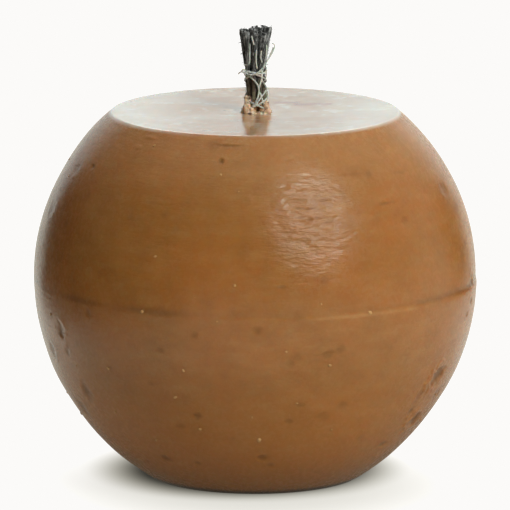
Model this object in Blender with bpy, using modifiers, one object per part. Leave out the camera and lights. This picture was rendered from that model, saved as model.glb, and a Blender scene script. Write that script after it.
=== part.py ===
"""A cast wax ball candle with a flat top and base, and a thick cotton wick bound with pale thread.

Metres, +Z up. The origin is the centre of the base, and the front of the candle faces -Y.
"""

import math

import bpy
from mathutils import Vector
from mathutils.geometry import interpolate_bezier

# The wax ball.
BALL_RADIUS = 0.040
BASE_RADIUS = 0.0173
TOP_RADIUS = 0.0259
TOP_ROUNDING = 0.0007
BASE_ROUNDING = 0.0010
FOOT_SPREAD = 0.0017
FOOT_SPREAD_HEIGHT = 0.014
BALL_SEGMENTS = 64
ARC_STEP = math.radians(4)
ROUNDING_STEPS = 4

# The wick stands up out of the top, a little off the ball's axis and leaning back to it.
WICK_STAND = 0.0156
WICK_OFFSET = 0.00025
WICK_LEAN = 0.0003
NECK_HEIGHT = 0.0070
OUTER_YARNS = 8
OUTER_RING = 0.00120
OUTER_YARN_RADIUS = 0.00038
CORE_YARNS = 3
CORE_RING = 0.00040
CORE_YARN_RADIUS = 0.00029
TOP_SPREAD = 1.90
TOP_SWELL = 1.60
WICK_TWIST = math.radians(24)
WICK_RECESS = 0.0005
YARN_POINTS_ABOVE = 9
YARN_SIDES_RESOLUTION = 2

# The pale thread that binds the lower half of the wick, and what has come loose from it.
THREAD_RADIUS = 0.00014
THREAD_GAP = 0.00006
THREAD_TURNS = 1.3
THREAD_BELOW_NECK = 0.0003
THREAD_START = math.radians(200)
THREAD_POINTS = 40
THREAD_SIDES_RESOLUTION = 1
LOOSE_STEPS = 5

# Gaps and the wax that was drawn up round the foot of the wick.
PIECE_GAP = 0.0003
COLLAR_HEIGHT = 0.0005
COLLAR_FOOT_RADIUS = 0.0028
COLLAR_TOP_RADIUS = 0.0022
HOLE_SEGMENTS = 32

# Worked out from the sizes above.
BALL_CENTRE_Z = math.sqrt(BALL_RADIUS**2 - BASE_RADIUS**2)
TOP_Z = BALL_CENTRE_Z + math.sqrt(BALL_RADIUS**2 - TOP_RADIUS**2)
BUNDLE_RADIUS = OUTER_RING + OUTER_YARN_RADIUS
HOLE_RADIUS = BUNDLE_RADIUS + PIECE_GAP
INNER_THREAD_RING = BUNDLE_RADIUS + THREAD_GAP + THREAD_RADIUS
OUTER_THREAD_RING = INNER_THREAD_RING + THREAD_GAP + 2 * THREAD_RADIUS
THREAD_FOOT = COLLAR_HEIGHT + PIECE_GAP + THREAD_RADIUS
THREAD_HEAD = NECK_HEIGHT - THREAD_BELOW_NECK

# Points of the loose threads, in millimetres: right of the wick's axis, towards the front, and
# above the wax. The loop crosses the front of the neck and stands up off its right side.
LOOP_ROUTE = (
    (-1.6, -1.6, 8.3),
    (-2.6, -0.6, 7.5),
    (-2.9, 0.5, 7.3),
    (-2.1, 1.3, 7.6),
    (-1.0, 2.0, 7.8),
    (0.3, 2.2, 7.8),
    (1.3, 2.0, 8.5),
    (2.2, 1.6, 9.8),
    (2.9, 1.3, 11.2),
    (3.4, 1.1, 12.4),
    (3.2, 0.8, 12.9),
    (2.9, 0.5, 12.3),
    (2.8, 0.2, 10.9),
    (2.4, -0.2, 9.3),
)
STRAY_ROUTE = (
    (-2.1, 0.8, 9.0),
    (-1.75, 1.5, 9.1),
    (-1.15, 2.0, 9.5),
    (-0.95, 2.25, 10.7),
    (-0.9, 2.65, 12.2),
    (-0.8, 2.95, 13.6),
)


def clear_scene():
    """Removes the startup objects."""
    for obj in list(bpy.data.objects):
        bpy.data.objects.remove(obj, do_unlink=True)


def new_collection(name):
    """Adds a collection to the scene."""
    collection = bpy.data.collections.new(name)
    bpy.context.scene.collection.children.link(collection)
    return collection


def new_material(name, colour, roughness):
    """A non-metallic Principled material of one colour."""
    material = bpy.data.materials.new(name)
    material.use_nodes = True
    shader = material.node_tree.nodes["Principled BSDF"]
    shader.inputs["Base Color"].default_value = (*colour, 1.0)
    shader.inputs["Roughness"].default_value = roughness
    shader.inputs["Metallic"].default_value = 0.0
    return material


def add_object(name, data, collection, material=None):
    """Links a new object that holds data, with a material if it is a part."""
    obj = bpy.data.objects.new(name, data)
    collection.objects.link(obj)
    if material:
        data.materials.append(material)
    return obj


def add_cone(name, foot_radius, top_radius, low_z, high_z, collection):
    """A helper cone round the wick's axis, which is never rendered."""
    bpy.ops.mesh.primitive_cone_add(
        vertices=HOLE_SEGMENTS,
        radius1=foot_radius,
        radius2=top_radius,
        depth=high_z - low_z,
        location=(WICK_OFFSET, 0.0, (low_z + high_z) / 2),
    )
    cone = bpy.context.object
    cone.name = name
    for owner in list(cone.users_collection):
        owner.objects.unlink(cone)
    collection.objects.link(cone)
    cone.hide_render = True
    cone.display_type = "WIRE"
    return cone


def arc(centre, radius, start, end, steps):
    """Points (x, z) of an arc from one angle to another, both measured up from +X."""
    angles = [start + (end - start) * i / steps for i in range(steps + 1)]
    return [(centre[0] + radius * math.cos(a), centre[1] + radius * math.sin(a)) for a in angles]


def rounding_centre(flat_z, rounding):
    """(x, z) of the centre of the arc that rounds the ball into the flat at flat_z."""
    side = 1 if flat_z > BALL_CENTRE_Z else -1
    z = flat_z - side * rounding
    x = math.sqrt((BALL_RADIUS - rounding) ** 2 - (z - BALL_CENTRE_Z) ** 2)
    return x, z


def spread(point):
    """Moves a point of the profile out, to follow how the soft wax spread a little over its base."""
    x, z = point
    share = max(1 - z / FOOT_SPREAD_HEIGHT, 0.0)
    return x + FOOT_SPREAD * share**2, z


def ball_outline():
    """The ball's turned profile at +X, from the centre of the top, down the side, to the base."""
    top = rounding_centre(TOP_Z, TOP_ROUNDING)
    base = rounding_centre(0.0, BASE_ROUNDING)
    top_angle = math.atan2(top[1] - BALL_CENTRE_Z, top[0])
    base_angle = math.atan2(base[1] - BALL_CENTRE_Z, base[0])
    side_steps = round((top_angle - base_angle) / ARC_STEP)
    ball = (0.0, BALL_CENTRE_Z)
    side = arc(ball, BALL_RADIUS, top_angle, base_angle, side_steps)[1:-1]
    foot = arc(base, BASE_ROUNDING, base_angle, -math.pi / 2, ROUNDING_STEPS)
    return [
        (0.0, TOP_Z),
        *arc(top, TOP_ROUNDING, math.pi / 2, top_angle, ROUNDING_STEPS),
        *[spread(point) for point in side + foot],
        (0.0, 0.0),
    ]


def add_boolean(obj, name, operation, other):
    """Joins or cuts obj with a helper."""
    modifier = obj.modifiers.new(name, "BOOLEAN")
    modifier.operation = operation
    modifier.solver = "EXACT"
    modifier.object = other


def build_wax(parts, helpers):
    """The ball of wax, with the collar round the wick and the hole that the wick fills."""
    wax = new_material("wax", (0.30, 0.13, 0.045), 0.35)
    outline = [(x, 0.0, z) for x, z in ball_outline()]
    mesh = bpy.data.meshes.new("wax_body")
    mesh.from_pydata(outline, [(i, i + 1) for i in range(len(outline) - 1)], [])
    body = add_object("wax_body", mesh, parts, wax)

    turn = body.modifiers.new("turn", "SCREW")
    turn.axis = "Z"
    turn.steps = BALL_SEGMENTS
    turn.render_steps = BALL_SEGMENTS
    turn.use_merge_vertices = True
    turn.merge_threshold = 0.00001
    turn.use_smooth_shade = True

    collar = add_cone(
        "collar_shape",
        COLLAR_FOOT_RADIUS,
        COLLAR_TOP_RADIUS,
        TOP_Z - COLLAR_HEIGHT,
        TOP_Z + COLLAR_HEIGHT,
        helpers,
    )
    hole = add_cone(
        "wick_hole", HOLE_RADIUS, HOLE_RADIUS, -COLLAR_HEIGHT, TOP_Z + 2 * COLLAR_HEIGHT, helpers
    )
    add_boolean(body, "collar", "UNION", collar)
    add_boolean(body, "hole", "DIFFERENCE", hole)
    return body


def eased(value):
    """0 below 0, 1 above 1, and a smooth step between."""
    held = min(max(value, 0.0), 1.0)
    return held * held * (3 - 2 * held)


def wick_axis_x(height):
    """Where the middle of the wick is along X, at a height over the wax."""
    return WICK_OFFSET - WICK_LEAN * max(height, 0.0) / WICK_STAND


def opening(height):
    """0 up to the neck, then rising to 1 at the cut end, as the yarns open out."""
    above = (height - NECK_HEIGHT) / (WICK_STAND - NECK_HEIGHT)
    return 0.5 * max(above, 0.0) + 0.5 * eased(above)


def yarn_centre(ring, start_angle, height):
    """The middle of a yarn at a height over the wax. Below the wax's top the yarns run straight."""
    spread = ring * (1 + (TOP_SPREAD - 1) * opening(height))
    angle = start_angle + WICK_TWIST * max(height, 0.0) / WICK_STAND
    return Vector(
        (
            wick_axis_x(height) + spread * math.cos(angle),
            spread * math.sin(angle),
            TOP_Z + height,
        )
    )


def add_tube(name, points, radius, sides_resolution, collection, material, swells=None):
    """A round tube with closed ends along points. swells scales the radius at each point."""
    curve = bpy.data.curves.new(name, "CURVE")
    curve.dimensions = "3D"
    curve.bevel_depth = radius
    curve.bevel_resolution = sides_resolution
    curve.use_fill_caps = True
    spline = curve.splines.new("POLY")
    spline.points.add(len(points) - 1)
    for i, point in enumerate(points):
        spline.points[i].co = (*point, 1.0)
        spline.points[i].radius = swells[i] if swells else 1.0
    spline.use_smooth = True
    return add_object(name, curve, collection, material)


def add_yarns(prefix, count, ring, radius, collection, material):
    """A ring of yarns that runs through the wax and opens out at the cut end of the wick."""
    foot = WICK_RECESS - TOP_Z
    heights = [foot] + [WICK_STAND * i / YARN_POINTS_ABOVE for i in range(YARN_POINTS_ABOVE + 1)]
    swells = [1 + (TOP_SWELL - 1) * opening(h) for h in heights]
    for i in range(count):
        start = 2 * math.pi * (i + 0.5) / count
        points = [yarn_centre(ring, start, h) for h in heights]
        name = f"{prefix}_{i + 1}"
        add_tube(name, points, radius, YARN_SIDES_RESOLUTION, collection, material, swells)


def thread_turns(ring, hand, start_angle):
    """Points of a thread wound up the lower half of the wick. hand is 1 or -1, the way it turns."""
    points = []
    for i in range(THREAD_POINTS):
        share = i / (THREAD_POINTS - 1)
        height = THREAD_FOOT + (THREAD_HEAD - THREAD_FOOT) * share
        angle = start_angle + hand * 2 * math.pi * THREAD_TURNS * share
        points.append(
            Vector(
                (
                    wick_axis_x(height) + ring * math.cos(angle),
                    ring * math.sin(angle),
                    TOP_Z + height,
                )
            )
        )
    return points


def loose_points(route):
    """A smooth line through a loose thread's own points."""
    knots = []
    for right, front, height in route:
        above = height / 1000
        knots.append(Vector((wick_axis_x(above) + right / 1000, -front / 1000, TOP_Z + above)))
    ends = [knots[0], *knots, knots[-1]]
    slopes = [(ends[i + 2] - ends[i]) / 6 for i in range(len(knots))]
    points = [knots[0]]
    for i in range(len(knots) - 1):
        start, end = knots[i], knots[i + 1]
        handles = (start + slopes[i], end - slopes[i + 1])
        points += interpolate_bezier(start, *handles, end, LOOSE_STEPS + 1)[1:]
    return points


def build_wick(parts):
    """The wick: an outer and a core ring of yarns, two binding threads and two loose ones."""
    cotton = new_material("charred_cotton", (0.05, 0.048, 0.045), 0.9)
    thread = new_material("pale_thread", (0.62, 0.60, 0.54), 0.8)
    add_yarns("wick_yarn", OUTER_YARNS, OUTER_RING, OUTER_YARN_RADIUS, parts, cotton)
    add_yarns("core_yarn", CORE_YARNS, CORE_RING, CORE_YARN_RADIUS, parts, cotton)
    routes = {
        "binding_thread_right": thread_turns(INNER_THREAD_RING, 1, THREAD_START),
        "binding_thread_left": thread_turns(OUTER_THREAD_RING, -1, math.pi - THREAD_START),
        "loose_thread_loop": loose_points(LOOP_ROUTE),
        "loose_thread_stray": loose_points(STRAY_ROUTE),
    }
    for name, points in routes.items():
        add_tube(name, points, THREAD_RADIUS, THREAD_SIDES_RESOLUTION, parts, thread)


def main():
    """Builds the candle in one collection, and its helper shapes in another."""
    clear_scene()
    parts = new_collection("ball_candle")
    helpers = new_collection("helpers")
    build_wax(parts, helpers)
    build_wick(parts)


main()
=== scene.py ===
"""Looks of the ball candle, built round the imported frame.

A cast wax ball with a flat top, a flat base and a mould seam round its middle, and a charred cotton
wick bound with pale thread. Metres, +Z up. The origin is the centre of the base, and the front of
the candle faces -Y.
"""

from __future__ import annotations

import logging
import math
from collections.abc import Iterable, Sequence
from dataclasses import dataclass, field
from enum import Enum

import bmesh
import bpy
import numpy as np
from mathutils import Matrix, Vector, noise


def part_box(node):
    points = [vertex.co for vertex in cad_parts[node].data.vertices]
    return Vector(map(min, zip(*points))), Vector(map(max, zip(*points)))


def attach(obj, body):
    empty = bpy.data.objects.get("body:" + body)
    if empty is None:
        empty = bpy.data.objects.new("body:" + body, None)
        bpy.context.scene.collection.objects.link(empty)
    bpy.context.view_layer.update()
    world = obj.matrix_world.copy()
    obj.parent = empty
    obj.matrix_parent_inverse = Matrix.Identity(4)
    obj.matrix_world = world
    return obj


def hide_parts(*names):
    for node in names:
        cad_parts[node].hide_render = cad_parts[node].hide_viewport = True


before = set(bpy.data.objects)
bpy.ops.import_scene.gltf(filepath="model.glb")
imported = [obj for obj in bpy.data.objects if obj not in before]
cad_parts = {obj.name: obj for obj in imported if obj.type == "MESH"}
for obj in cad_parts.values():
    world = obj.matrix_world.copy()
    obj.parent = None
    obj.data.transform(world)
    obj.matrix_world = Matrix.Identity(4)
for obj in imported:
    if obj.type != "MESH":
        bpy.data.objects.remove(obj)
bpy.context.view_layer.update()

LOG = logging.getLogger("ball_candle")
MM = 0.001
BODY = "root"

Socket = bpy.types.NodeSocket
Material = bpy.types.Material
Mesh = bpy.types.Mesh
Object = bpy.types.Object
Value = float | int | bool | Sequence[float] | Socket | Material
Colour = tuple[float, float, float]
Pair = tuple[float, float]


class Slot(Enum):
    """The record's material slots."""

    WAX = "wax"
    COTTON = "charred_cotton"
    THREAD = "pale_thread"


# ---------------------------------------------------------------- node trees


class Graph:
    """A node tree that is built one node at a time."""

    def __init__(self, tree: bpy.types.NodeTree) -> None:
        """Starts on a tree, which may hold nodes already."""
        self.tree = tree

    def node(self, kind: str, inputs: dict | None = None, **settings: object) -> bpy.types.Node:
        """Adds a node.

        Args:
            kind: the node's type, as Blender names it.
            inputs: what each input, by name or number, is set or linked to.
            settings: the node's own properties.

        Returns:
            The new node.
        """
        made = self.tree.nodes.new(kind)
        for name, value in settings.items():
            setattr(made, name, value)
        for key, value in (inputs or {}).items():
            self.feed(made.inputs[key], value)
        return made

    def socket(
        self, kind: str, inputs: dict | None = None, output: int | str = 0, **settings: object
    ) -> Socket:
        """Adds a node, as node() does, and gives one of its outputs by name or number."""
        return self.node(kind, inputs, **settings).outputs[output]

    def feed(self, socket: Socket, value: Value) -> None:
        """Links a socket to value, or sets it to value where that is a plain one."""
        if isinstance(value, Socket):
            self.tree.links.new(value, socket)
        else:
            socket.default_value = value

    def math(self, operation: str, *values: Value) -> Socket:
        """The result of a Math node on up to three values."""
        return self.socket("ShaderNodeMath", dict(enumerate(values)), operation=operation)

    def times(self, first: Value, second: Value) -> Socket:
        """The product of two numbers."""
        return self.math("MULTIPLY", first, second)

    def plus(self, first: Value, second: Value) -> Socket:
        """The sum of two numbers."""
        return self.math("ADD", first, second)

    def minus(self, first: Value, second: Value) -> Socket:
        """The first number less the second."""
        return self.math("SUBTRACT", first, second)

    def spanned(self, share: Value, width: Value, start: Value) -> Socket:
        """start where share is 0, and width more where it is 1."""
        return self.math("MULTIPLY_ADD", share, width, start)

    def split(self, vector: Value) -> Sequence[Socket]:
        """The x, y and z of a vector."""
        return self.node("ShaderNodeSeparateXYZ", {0: vector}).outputs

    def vector(self, operation: str, *values: Value) -> Socket:
        """The vector result of a Vector Math node. SCALE takes its number as the second value."""
        if operation == "SCALE":
            inputs = {0: values[0], "Scale": values[1]}
        else:
            inputs = dict(enumerate(values))
        return self.socket("ShaderNodeVectorMath", inputs, operation=operation)

    def dot(self, first: Value, second: Value) -> Socket:
        """The dot product of two vectors."""
        made = self.node("ShaderNodeVectorMath", {0: first, 1: second}, operation="DOT_PRODUCT")
        return made.outputs["Value"]

    def ramp(self, value: Value, low: float, high: float) -> Socket:
        """A smooth step that is 0 where value is at low and 1 where it is at high."""
        return self.socket(
            "ShaderNodeMapRange",
            {"Value": value, "From Min": low, "From Max": high},
            interpolation_type="SMOOTHSTEP",
        )

    def noise(self, place: Socket, size: float, detail: float = 2.0, rough: float = 0.5) -> Socket:
        """Noise from 0 to 1 whose lumps are about size metres across."""
        return self.socket(
            "ShaderNodeTexNoise",
            {"Vector": place, "Scale": 1.0 / size, "Detail": detail, "Roughness": rough},
        )

    def mix(self, share: Value, first: Value, second: Value) -> Socket:
        """A colour between first, at share 0, and second, at share 1."""
        made = self.node("ShaderNodeMix", data_type="RGBA")
        self.feed(made.inputs[0], share)
        for socket, colour in ((made.inputs[6], first), (made.inputs[7], second)):
            plain = not isinstance(colour, Socket)
            self.feed(socket, (*colour, 1.0) if plain else colour)
        return made.outputs[2]


class Shader(Graph):
    """A material's tree, round its Principled shader."""

    def __init__(self, name: str) -> None:
        """Makes the material, with nothing linked to its shader yet."""
        self.material = bpy.data.materials.new(name)
        self.material.use_nodes = True
        super().__init__(self.material.node_tree)
        self.principled = self.tree.nodes["Principled BSDF"]
        self.place = self.socket("ShaderNodeTexCoord", output="Object")

    def set(self, **values: Value) -> None:
        """Sets or links inputs of the Principled shader, named in lower case with underscores."""
        for name, value in values.items():
            self.feed(self.principled.inputs[name.replace("_", " ").title().replace("Ior", "IOR")], value)

    def stretched(self, x: float, y: float, z: float) -> Socket:
        """Object coordinates scaled along each axis, so that a pattern is drawn out along one."""
        return self.socket("ShaderNodeMapping", {"Vector": self.place, "Scale": (x, y, z)})

    def length(self, vector: Value) -> Socket:
        """How long a vector is."""
        return self.socket("ShaderNodeVectorMath", {0: vector}, operation="LENGTH", output="Value")

    def attribute(self, name: str) -> Socket:
        """A number that the mesh stores at each point."""
        return self.socket("ShaderNodeAttribute", attribute_name=name, output="Fac")

    def bump(self, height: Value, depth: float, under: Socket | None = None) -> Socket:
        """A normal raised by height times depth metres, over another normal if one is given."""
        inputs = {"Height": height, "Distance": depth, "Strength": 1.0}
        if under is not None:
            inputs["Normal"] = under
        return self.socket("ShaderNodeBump", inputs)


class GeometryGraph(Graph):
    """A Geometry Nodes tree with named inputs, which grows a plain mesh from a source object."""

    def __init__(self, name: str) -> None:
        """Makes the tree, with a geometry input and a geometry output."""
        super().__init__(bpy.data.node_groups.new(name, "GeometryNodeTree"))
        for way in ("INPUT", "OUTPUT"):
            self.tree.interface.new_socket("Geometry", in_out=way, socket_type="NodeSocketGeometry")
        self.given = self.node("NodeGroupInput")
        self.identifiers: dict[str, str] = {}

    def input(self, name: str, kind: str, value: float) -> Socket:
        """Adds an input that can be set for each piece, and gives its socket inside the tree."""
        made = self.tree.interface.new_socket(name, in_out="INPUT", socket_type=f"NodeSocket{kind}")
        made.default_value = value
        self.identifiers[name] = made.identifier
        return self.given.outputs[name]

    def random(self, low: Value, high: Value, seed: Value, key: Value | None = None) -> Socket:
        """A random number for each element, or for each value of key."""
        inputs = {2: low, 3: high, 8: seed}
        if key is not None:
            inputs[7] = key
        return self.socket("FunctionNodeRandomValue", inputs, data_type="FLOAT", output=1)

    def named(self, name: str) -> Socket:
        """A number that the geometry stores."""
        return self.socket("GeometryNodeInputNamedAttribute", {"Name": name}, data_type="FLOAT")

    def stored(self, geometry: Socket, name: str, domain: str, value: Value) -> Socket:
        """The geometry with a number stored on it under name."""
        inputs = {"Geometry": geometry, "Name": name, "Value": value}
        settings = {"data_type": "FLOAT", "domain": domain}
        return self.socket("GeometryNodeStoreNamedAttribute", inputs, **settings)

    def tube(self, curve: Socket, radius: Value, sides: int = 6) -> Socket:
        """A smooth capped tube round each curve."""
        ring = self.socket("GeometryNodeCurvePrimitiveCircle", {0: sides, 4: 1.0})
        inputs = {0: curve, 1: ring, 2: radius, 3: True}
        made = self.socket("GeometryNodeCurveToMesh", inputs)
        return self.socket("GeometryNodeSetShadeSmooth", {0: made})

    def close(self, geometry: Socket, material: Material) -> None:
        """Ends the tree with its instances made real, in one material."""
        real = self.socket("GeometryNodeRealizeInstances", {0: geometry})
        dressed = self.socket("GeometryNodeSetMaterial", {0: real, 2: material})
        self.node("NodeGroupOutput", {0: dressed})

    def grow(self, source: Object, name: str, **values: float) -> Object:
        """Runs the tree on source, which is used up.

        Args:
            source: the object that the tree grows from.
            name: the new piece's name.
            values: the tree's inputs by name.

        Returns:
            The new piece, a plain mesh with no modifier.
        """
        modifier = source.modifiers.new(name, "NODES")
        modifier.node_group = self.tree
        for key, value in values.items():
            modifier[self.identifiers[key]] = value
        return add_object(name, mesh_from(source))


# ---------------------------------------------------------------- meshes


def add_object(name: str, data: bpy.types.ID) -> Object:
    """Puts an object of this data at the origin."""
    made = bpy.data.objects.new(name, data)
    bpy.context.scene.collection.objects.link(made)
    return made


def mesh_from(source: Object) -> Mesh:
    """The plain mesh that an object's modifiers give. The object is used up."""
    seen = source.evaluated_get(bpy.context.evaluated_depsgraph_get())
    mesh = bpy.data.meshes.new_from_object(seen)
    bpy.data.objects.remove(source)
    return mesh


def mesh_of(grid: bmesh.types.BMesh, name: str) -> Mesh:
    """A mesh of the grid, which is freed."""
    mesh = bpy.data.meshes.new(name)
    grid.to_mesh(mesh)
    grid.free()
    return mesh


def mesh_object(name: str, points: np.ndarray, faces: Sequence[Sequence[int]]) -> Object:
    """Makes an object of a smooth mesh.

    Args:
        name: the piece's name.
        points: one row of x, y, z for each vertex.
        faces: the vertex numbers of each face, anticlockwise from outside.

    Returns:
        The object, at the origin.
    """
    mesh = bpy.data.meshes.new(name)
    mesh.from_pydata(points.tolist(), [], [list(face) for face in faces])
    mesh.shade_smooth()
    return add_object(name, mesh)


def lines_object(name: str, lines: Sequence[np.ndarray], girths: Sequence[np.ndarray]) -> Object:
    """Makes an object of open lines, for a tree to grow strands along.

    Args:
        name: the object's name.
        lines: one row of x, y, z for each point of each line.
        girths: how thick the strand is at each of those points, as a share of its full size.

    Returns:
        The object, whose mesh has edges only.
    """
    edges = []
    start = 0
    for line in lines:
        edges += [(start + i, start + i + 1) for i in range(len(line) - 1)]
        start += len(line)
    mesh = bpy.data.meshes.new(name)
    mesh.from_pydata(np.concatenate(lines).tolist(), edges, [])
    store(mesh, "girth", np.concatenate(girths))
    return add_object(name, mesh)


def join(name: str, pieces: Sequence[Object]) -> Object:
    """Makes one object of several plain ones in the same material."""
    with bpy.context.temp_override(active_object=pieces[0], selected_editable_objects=list(pieces)):
        bpy.ops.object.join()
    pieces[0].name = name
    return pieces[0]


def points_of(mesh: Mesh) -> np.ndarray:
    """The mesh's vertices, one row for each."""
    flat = np.empty(len(mesh.vertices) * 3)
    mesh.vertices.foreach_get("co", flat)
    return flat.reshape(-1, 3)


def move_points(mesh: Mesh, points: np.ndarray) -> None:
    """Puts the mesh's vertices at points."""
    mesh.vertices.foreach_set("co", points.astype(np.float32).ravel())
    mesh.update()


def store(mesh: Mesh, name: str, values: np.ndarray) -> None:
    """Stores a number at each vertex, for a material to read."""
    layer = mesh.attributes.new(name, "FLOAT", "POINT")
    layer.data.foreach_set("value", values.astype(np.float32))


def lumps(points: np.ndarray, size: float, seed: float) -> np.ndarray:
    """Smooth noise from about -1 to 1 at each point, with lumps about size metres across."""
    return np.array([noise.noise(Vector(point)) for point in points / size + seed])


def bell(distance: np.ndarray) -> np.ndarray:
    """1 at distance 0, falling smoothly to about a third at 1 and nothing by 3."""
    return np.exp(-(distance**2))


def smooth(value: np.ndarray | float) -> np.ndarray:
    """0 below 0, 1 above 1, and a smooth step between."""
    held = np.clip(value, 0.0, 1.0)
    return held * held * (3 - 2 * held)


def on_circle(centre: Pair, radius: float, angle: float) -> Pair:
    """The (radius, z) of a point of a circle, at an angle from level."""
    return centre[0] + radius * math.cos(angle), centre[1] + radius * math.sin(angle)


def present(piece: Object, nodes: Iterable[str] = ()) -> None:
    """Hands a finished piece to the frame.

    Args:
        piece: a plain mesh whose place is in its vertices.
        nodes: the CAD nodes that the piece stands for.
    """
    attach(piece, BODY)
    stood_for = list(nodes)
    if stood_for:
        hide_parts(*stood_for)
    LOG.info("%s: %d faces, for %s", piece.name, len(piece.data.polygons), ", ".join(stood_for) or "itself")


# ---------------------------------------------------------------- the ball of wax


@dataclass(frozen=True)
class BallShape:
    """The driving sizes of the ball, taken from the frame."""

    radius: float
    top_z: float
    base_radius: float
    foot_spread: float = 1.7 * MM
    spread_height: float = 14.0 * MM

    @classmethod
    def from_frame(cls, base_radius: float = 17.3 * MM, collar: float = 0.5 * MM) -> BallShape:
        """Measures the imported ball. The frame doesn't say how wide the base is or how high the collar."""
        low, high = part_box("wax_body")
        return cls((high.x - low.x) / 2, high.z - collar, base_radius)

    @property
    def centre_z(self) -> float:
        """The height of the ball's centre over its base."""
        return math.sqrt(self.radius**2 - self.base_radius**2)

    @property
    def top_radius(self) -> float:
        """The radius of the flat top, out to where it would meet the ball with no rounding."""
        return math.sqrt(self.radius**2 - (self.top_z - self.centre_z) ** 2)

    def spread(self, ring: Pair) -> Pair:
        """Moves a ring of the side out, as the soft wax spread a little over its base."""
        share = max(1 - ring[1] / self.spread_height, 0.0)
        return ring[0] + self.foot_spread * share**2, ring[1]

    def rounding_centre(self, flat_z: float, rounding: float) -> Pair:
        """(radius, z) of the centre of the arc that rounds the ball into the flat at flat_z."""
        side = 1 if flat_z > self.centre_z else -1
        z = flat_z - side * rounding
        return math.sqrt((self.radius - rounding) ** 2 - (z - self.centre_z) ** 2), z


@dataclass(frozen=True)
class Mark:
    """A dent or a pit in the side of the ball.

    azimuth and latitude are in degrees, from the front and from the seam. width, height and depth
    are in millimetres, and lip is how far the edge stands up, as a share of the depth.
    """

    azimuth: float
    latitude: float
    width: float
    height: float
    depth: float
    lip: float = 0.25

    def centre(self, shape: BallShape) -> np.ndarray:
        """Where the mark is on the ball."""
        azimuth, latitude = math.radians(self.azimuth), math.radians(self.latitude)
        across = shape.radius * math.cos(latitude)
        return np.array(
            [
                across * math.sin(azimuth),
                -across * math.cos(azimuth),
                shape.centre_z + shape.radius * math.sin(latitude),
            ]
        )

    @property
    def hollow_shade(self) -> float:
        """How much painted shade darkens the mark's hollow, from 0 to 1. A raised mark gets none."""
        return min(max(0.3 + 3.0 * self.depth, 0.0), 0.85) * (self.depth > 0)

    def front_side(self, points: np.ndarray) -> np.ndarray:
        """1 on the half of the mark nearer the front and 0 on the other half."""
        turned = np.degrees(np.arctan2(points[:, 0], -points[:, 1])) - self.azimuth
        return smooth(0.5 - math.copysign(0.4, self.azimuth) * turned / self.width)

    def distance(self, points: np.ndarray, shape: BallShape) -> np.ndarray:
        """How far each point is from the mark's middle, counted in half its width and height."""
        azimuth = math.radians(self.azimuth)
        offset = points - self.centre(shape)
        along = offset @ np.array([math.cos(azimuth), math.sin(azimuth), 0.0])
        rise = offset[:, 2] / math.cos(math.radians(self.latitude))
        through = offset @ np.array([math.sin(azimuth), -math.cos(azimuth), 0.0])
        far = through < -shape.radius / 2
        reach = np.hypot(along / (self.width * MM / 2), rise / (self.height * MM / 2))
        return np.where(far, 99.0, reach)


PITS = (
    Mark(-61.9, -8.8, 2.4, 3.0, 0.18, 0.6),
    Mark(-56.5, -25.0, 2.6, 3.6, 0.13, 0.2),
    Mark(-71.6, -16.1, 2.6, 2.8, 0.14, 0.5),
    Mark(-66.0, -32.0, 3.0, 3.4, 0.10, 0.5),
    Mark(-77.0, 21.0, 3.6, 2.6, 0.06, 0.4),
    Mark(-72.0, 33.0, 3.2, 2.2, 0.06, 0.4),
    Mark(62.0, -21.6, 4.0, 3.5, 0.30, 0.8),
    Mark(62.1, -35.6, 3.8, 3.2, 0.26, 0.8),
    Mark(55.0, -27.0, 1.6, 3.6, 0.05, 0.8),
    Mark(72.0, 27.0, 3.4, 2.4, 0.08, 0.5),
    Mark(68.0, -28.0, 3.0, 2.6, 0.10, 0.4),
    Mark(75.6, -3.3, 1.8, 1.4, 0.15, 0.4),
    Mark(73.0, -6.5, 1.0, 0.8, 0.14, 0.4),
    Mark(-11.6, 41.7, 1.0, 1.2, 0.16, 0.3),
    Mark(-15.6, -4.5, 1.3, 1.3, 0.06),
    Mark(9.4, -11.7, 1.4, 1.4, 0.05),
    Mark(25.2, -25.0, 2.2, 1.6, 0.06),
    Mark(-25.2, -9.2, 1.4, 1.2, 0.05),
    Mark(-23.0, -31.7, 1.6, 1.2, 0.05),
    Mark(40.5, 27.5, 3.0, 0.7, 0.07),
    Mark(46.0, 22.3, 1.8, 1.3, 0.05),
    Mark(52.0, 35.0, 3.6, 0.7, 0.04),
    Mark(33.0, 36.5, 4.4, 0.6, 0.04),
    Mark(7.0, 8.2, 2.6, 0.6, 0.05),
    Mark(-10.0, 46.3, 5.2, 0.6, 0.09, 0.5),
    Mark(-43.0, 46.8, 2.8, 1.0, -0.09),
    Mark(-46.0, 43.5, 1.6, 0.8, -0.07),
    Mark(-28.0, 29.0, 4.6, 0.7, -0.04),
    Mark(-2.0, 31.0, 1.6, 1.8, -0.05),
    Mark(12.6, 28.3, 1.3, 0.5, 0.06),
    Mark(16.2, 28.1, 1.6, 0.4, 0.05),
    Mark(12.8, 25.8, 1.5, 0.5, 0.07),
    Mark(15.6, 25.2, 1.2, 0.5, 0.06),
    Mark(17.8, 25.6, 1.2, 0.5, 0.05),
    Mark(20.6, 24.2, 1.6, 0.4, 0.05),
)


def around(points: np.ndarray) -> np.ndarray:
    """Each point's place round the ball, as a point of a circle of radius 1 in the level plane."""
    azimuth = np.arctan2(points[:, 0], -points[:, 1])
    return np.stack([np.sin(azimuth), np.cos(azimuth), np.zeros(len(azimuth))], axis=1)


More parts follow.
